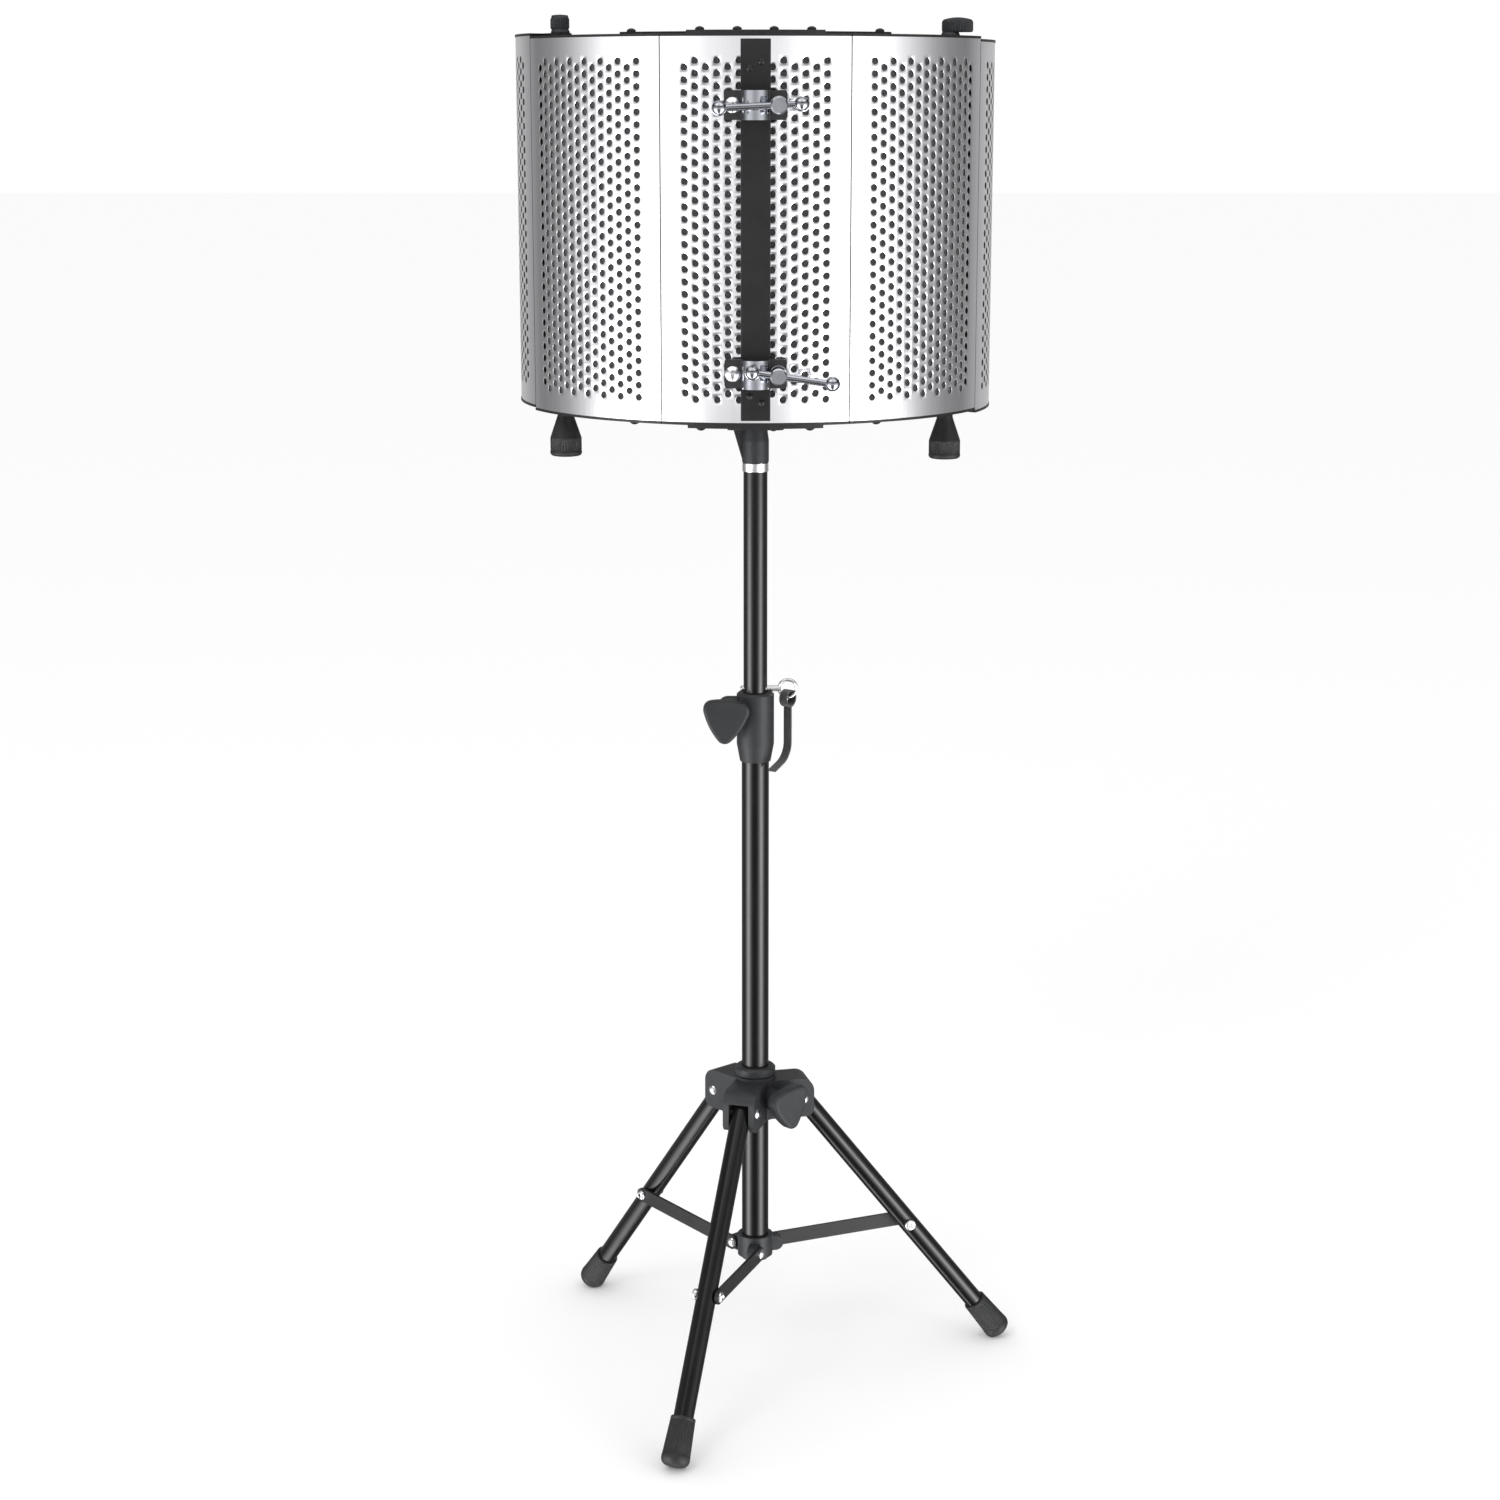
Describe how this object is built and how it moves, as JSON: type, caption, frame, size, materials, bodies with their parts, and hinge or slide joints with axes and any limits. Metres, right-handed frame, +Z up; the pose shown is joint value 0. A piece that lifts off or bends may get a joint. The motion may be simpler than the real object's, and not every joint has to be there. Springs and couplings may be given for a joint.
{
  "type": "microphone isolation shield",
  "caption": "Folding curved microphone isolation shield of perforated metal panels with foam inside, on a height-adjustable tripod stand.",
  "frame": {"origin": "on the floor under the axis of the stand's column", "axes": "+Z up; the convex metal side of the shield faces -Y, its open foam side faces +Y"},
  "size_m": [0.4138, 0.449, 1.1037],
  "materials": {
    "polished_aluminium": "polished",
    "acoustic_foam": "matt foam",
    "black_plate": "satin",
    "black_strut": "satin",
    "black_screws": "satin",
    "dark_chrome": "polished",
    "zinc_steel": "zinc plated",
    "black_plastic": "satin",
    "black_tube": "gloss",
    "black_rubber": "matt",
    "webbing": "woven"
  },
  "bodies": {
    "column": {"lower_tube": "black_tube", "tube_end_plug": "black_plastic", "strut_collar": "black_plastic", "strut_collar_bolts": "zinc_steel", "height_collar": "black_plastic", "collar_bush": "black_plastic"},
    "mast": {"upper_tube": "black_tube", "mast_stud": "zinc_steel"},
    "lock_ring": {"lock_ring": "zinc_steel"},
    "lock_pin": {"lock_pin": "zinc_steel", "pin_strap": "webbing"},
    "height_knob": {"height_knob": "black_plastic"},
    "hub": {"tripod_hub": "black_plastic", "hub_ring": "black_plastic", "leg_pivot_bolts": "zinc_steel"},
    "hub_knob": {"hub_knob": "black_plastic"},
    "shield": {"centre_sheet": "polished_aluminium", "centre_foam": "acoustic_foam", "centre_end_plates": "black_plate", "hinge_links": "black_plate", "end_stiffeners": "black_plate", "panel_screws": "black_screws", "back_bar": "black_plate", "bar_rivets": "black_screws", "upper_clamp_block": "black_plate", "lower_clamp_block": "black_plate", "shield_socket": "black_plastic"},
    "left_panel": {"left_sheet": "polished_aluminium", "left_foam": "acoustic_foam", "left_end_plates": "black_plate"},
    "left_wing": {"left_wing_sheet": "polished_aluminium", "left_wing_foam": "acoustic_foam", "left_wing_end_plates": "black_plate"},
    "left_thumb_knob": {"left_thumb_knob": "black_plastic"},
    "left_table_foot": {"left_table_foot": "black_rubber"},
    "right_panel": {"right_sheet": "polished_aluminium", "right_foam": "acoustic_foam", "right_end_plates": "black_plate"},
    "right_wing": {"right_wing_sheet": "polished_aluminium", "right_wing_foam": "acoustic_foam", "right_wing_end_plates": "black_plate"},
    "right_thumb_knob": {"right_thumb_knob": "black_plastic"},
    "right_table_foot": {"right_table_foot": "black_rubber"},
    "upper_clamp_saddle": {"upper_clamp_saddle": "dark_chrome", "upper_clamp_bolt": "zinc_steel"},
    "upper_tee_screw": {"upper_tee_screw": "dark_chrome"},
    "upper_tee_rod": {"upper_tee_rod": "dark_chrome"},
    "lower_clamp_saddle": {"lower_clamp_saddle": "dark_chrome", "lower_clamp_bolt": "zinc_steel"},
    "lower_tee_screw": {"lower_tee_screw": "dark_chrome"},
    "lower_tee_rod": {"lower_tee_rod": "dark_chrome"},
    "front_leg": {"front_leg": "black_tube", "front_leg_cap": "black_rubber"},
    "front_strut": {"front_strut": "black_strut"},
    "right_leg": {"right_leg": "black_tube", "right_leg_cap": "black_rubber"},
    "right_strut": {"right_strut": "black_strut"},
    "left_leg": {"left_leg": "black_tube", "left_leg_cap": "black_rubber"},
    "left_strut": {"left_strut": "black_strut"}
  },
  "joints": [
    {"name": "mast_height", "type": "slide", "parent": "column", "child": "mast", "axis": [0, 0, 1], "range_m": [0, 0.15]},
    {"name": "shield_swivel", "type": "hinge", "parent": "mast", "child": "shield", "pos_m": [0, 0, 0.77], "axis": [0, 0, 1], "continuous": true},
    {"name": "lock_ring_turn", "type": "hinge", "parent": "mast", "child": "lock_ring", "pos_m": [0, 0, 0.7557], "axis": [0, 0, 1], "continuous": true},
    {"name": "lock_pin_pull", "type": "slide", "parent": "mast", "child": "lock_pin", "axis": [1, 0, 0], "range_m": [0, 0.03]},
    {"name": "height_knob_turn", "type": "hinge", "parent": "column", "child": "height_knob", "pos_m": [-0.0235, 0, 0.557], "axis": [0, -1, 0], "continuous": true},
    {"name": "left_panel_fold", "type": "hinge", "parent": "shield", "child": "left_panel", "pos_m": [-0.09578, 0.02374, 0.94], "axis": [0, 0, -1], "range_deg": [0, 18]},
    {"name": "left_wing_fold", "type": "hinge", "parent": "left_panel", "child": "left_wing", "pos_m": [-0.15462, 0.08919, 0.94], "axis": [0, 0, -1], "range_deg": [0, 45]},
    {"name": "left_thumb_knob_turn", "type": "hinge", "parent": "left_panel", "child": "left_thumb_knob", "pos_m": [-0.15462, 0.08919, 1.09], "axis": [0, 0, 1], "continuous": true},
    {"name": "left_table_foot_turn", "type": "hinge", "parent": "left_panel", "child": "left_table_foot", "pos_m": [-0.15462, 0.08919, 0.77], "axis": [0, 0, 1], "continuous": true},
    {"name": "right_panel_fold", "type": "hinge", "parent": "shield", "child": "right_panel", "pos_m": [0.09578, 0.02374, 0.94], "axis": [0, 0, 1], "range_deg": [0, 18]},
    {"name": "right_wing_fold", "type": "hinge", "parent": "right_panel", "child": "right_wing", "pos_m": [0.15462, 0.08919, 0.94], "axis": [0, 0, 1], "range_deg": [0, 45]},
    {"name": "right_thumb_knob_turn", "type": "hinge", "parent": "right_panel", "child": "right_thumb_knob", "pos_m": [0.15462, 0.08919, 1.09], "axis": [0, 0, 1], "continuous": true},
    {"name": "right_table_foot_turn", "type": "hinge", "parent": "right_panel", "child": "right_table_foot", "pos_m": [0.15462, 0.08919, 0.77], "axis": [0, 0, 1], "continuous": true},
    {"name": "upper_clamp_open", "type": "slide", "parent": "shield", "child": "upper_clamp_saddle", "axis": [0, -1, 0], "range_m": [0, 0.003]},
    {"name": "upper_tee_screw_turn", "type": "hinge", "parent": "upper_clamp_saddle", "child": "upper_tee_screw", "pos_m": [0.0176, -0.04, 1.034], "axis": [0, -1, 0], "continuous": true},
    {"name": "upper_tee_rod_slide", "type": "slide", "parent": "upper_tee_screw", "child": "upper_tee_rod", "axis": [0.9988, 0, 0.0489], "range_m": [-0.0043, 0.0323]},
    {"name": "lower_clamp_open", "type": "slide", "parent": "shield", "child": "lower_clamp_saddle", "axis": [0, -1, 0], "range_m": [0, 0.003]},
    {"name": "lower_tee_screw_turn", "type": "hinge", "parent": "lower_clamp_saddle", "child": "lower_tee_screw", "pos_m": [0.0176, -0.04, 0.832], "axis": [0, -1, 0], "continuous": true},
    {"name": "lower_tee_rod_slide", "type": "slide", "parent": "lower_tee_screw", "child": "lower_tee_rod", "axis": [0.9903, 0, -0.1392], "range_m": [-0.0289, 0.0077]},
    {"name": "tripod_fold", "type": "slide", "parent": "column", "child": "hub", "axis": [0, 0, 1], "range_m": [0, 0.136]},
    {"name": "hub_knob_turn", "type": "hinge", "parent": "hub", "child": "hub_knob", "pos_m": [0.02728, -0.02925, 0.236], "axis": [0.682, -0.7314, 0], "continuous": true},
    {"name": "front_leg_hinge", "type": "hinge", "parent": "hub", "child": "front_leg", "pos_m": [-0.01111, -0.03634, 0.232], "axis": [0.9563, -0.2924, 0], "range_deg": [0, 38.1]},
    {"name": "front_strut_hinge", "type": "hinge", "parent": "column", "child": "front_strut", "pos_m": [-0.00526, -0.01721, 0.102], "axis": [-0.9563, 0.2924, 0], "range_deg": [0, 75.53]},
    {"name": "right_leg_hinge", "type": "hinge", "parent": "hub", "child": "right_leg", "pos_m": [0.03703, 0.00855, 0.232], "axis": [-0.225, 0.9744, 0], "range_deg": [0, 38.1]},
    {"name": "right_strut_hinge", "type": "hinge", "parent": "column", "child": "right_strut", "pos_m": [0.01754, 0.00405, 0.102], "axis": [0.225, -0.9744, 0], "range_deg": [0, 75.53]},
    {"name": "left_leg_hinge", "type": "hinge", "parent": "hub", "child": "left_leg", "pos_m": [-0.02592, 0.02779, 0.232], "axis": [-0.7314, -0.682, 0], "range_deg": [0, 38.1]},
    {"name": "left_strut_hinge", "type": "hinge", "parent": "column", "child": "left_strut", "pos_m": [-0.01228, 0.01316, 0.102], "axis": [0.7314, 0.682, 0], "range_deg": [0, 75.53]}
  ],
  "couplings": [
    {"joint": "front_leg_hinge", "follows": "tripod_fold", "rad_per_m": 4.8771},
    {"joint": "front_strut_hinge", "follows": "tripod_fold", "rad_per_m": 9.6669},
    {"joint": "right_leg_hinge", "follows": "tripod_fold", "rad_per_m": 4.8771},
    {"joint": "right_strut_hinge", "follows": "tripod_fold", "rad_per_m": 9.6669},
    {"joint": "left_leg_hinge", "follows": "tripod_fold", "rad_per_m": 4.8771},
    {"joint": "left_strut_hinge", "follows": "tripod_fold", "rad_per_m": 9.6669}
  ]
}
